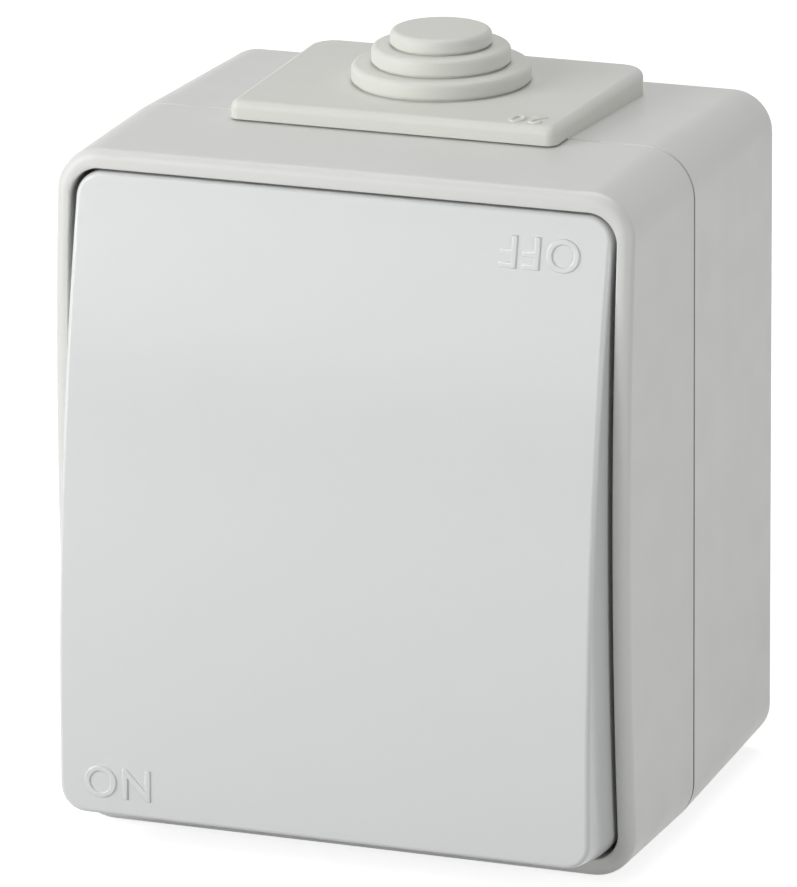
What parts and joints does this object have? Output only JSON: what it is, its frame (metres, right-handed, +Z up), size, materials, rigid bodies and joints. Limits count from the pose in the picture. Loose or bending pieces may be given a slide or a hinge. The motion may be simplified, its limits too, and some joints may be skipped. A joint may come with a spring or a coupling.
{
  "type": "outdoor weatherproof switch",
  "caption": "Surface-mounted sealed rocker switch: light grey box with a bowed front paddle, seal and contacts inside, and a soft stepped cable entry on top.",
  "frame": {"origin": "middle of the flat back face that lies on the wall", "axes": "-Y out of the wall towards the user, +Z up, +X to the user's right"},
  "size_m": [0.066, 0.0554, 0.0843],
  "materials": {
    "housing_plastic": "light grey, satin gloss",
    "rocker_plastic": "pale grey, glossy",
    "soft_grey": "light grey soft plastic, satin",
    "seal_rubber": "black rubber",
    "inner_plastic": "natural white plastic",
    "switch_plastic": "dark grey moulding",
    "brass": "stamped brass",
    "silver": "silver contact",
    "zinc_steel": "zinc plated steel",
    "pin_steel": "bright steel"
  },
  "bodies": {
    "housing": {"base_housing": "housing_plastic", "cable_grommet": "soft_grey", "cover_frame": "housing_plastic", "cover_gasket": "seal_rubber", "cover_screws": "zinc_steel", "cover_screw_seals": "seal_rubber", "sealing_membrane": "seal_rubber", "membrane_clamp": "inner_plastic", "switch_body": "switch_plastic", "switch_carrier": "inner_plastic", "common_contact": "brass", "upper_contact": "brass", "lower_contact": "brass", "fixed_contact_tips": "silver", "common_terminal": "brass", "upper_terminal": "brass", "lower_terminal": "brass", "terminal_screws": "zinc_steel", "mechanism_screws": "zinc_steel", "loop_terminal": "brass", "loop_terminal_screw": "zinc_steel"},
    "rocker": {"rocker": "rocker_plastic", "pivot_pin_left": "pin_steel", "pivot_pin_right": "pin_steel", "actuator_stem": "inner_plastic", "plunger": "brass", "plunger_spring": "pin_steel"},
    "seesaw": {"contact_rocker": "brass", "moving_contact_tips": "silver"}
  },
  "joints": [
    {"name": "rocker_tilt", "type": "hinge", "parent": "housing", "child": "rocker", "pos_m": [0, -0.04595, 0], "axis": [1, 0, 0], "range_deg": [0, 13.6]},
    {"name": "seesaw_tilt", "type": "hinge", "parent": "housing", "child": "seesaw", "pos_m": [0, -0.00995, 0], "axis": [1, 0, 0], "range_deg": [-16, 0]}
  ],
  "couplings": [
    {"joint": "seesaw_tilt", "follows": "rocker_tilt", "ratio": -1.1765}
  ]
}
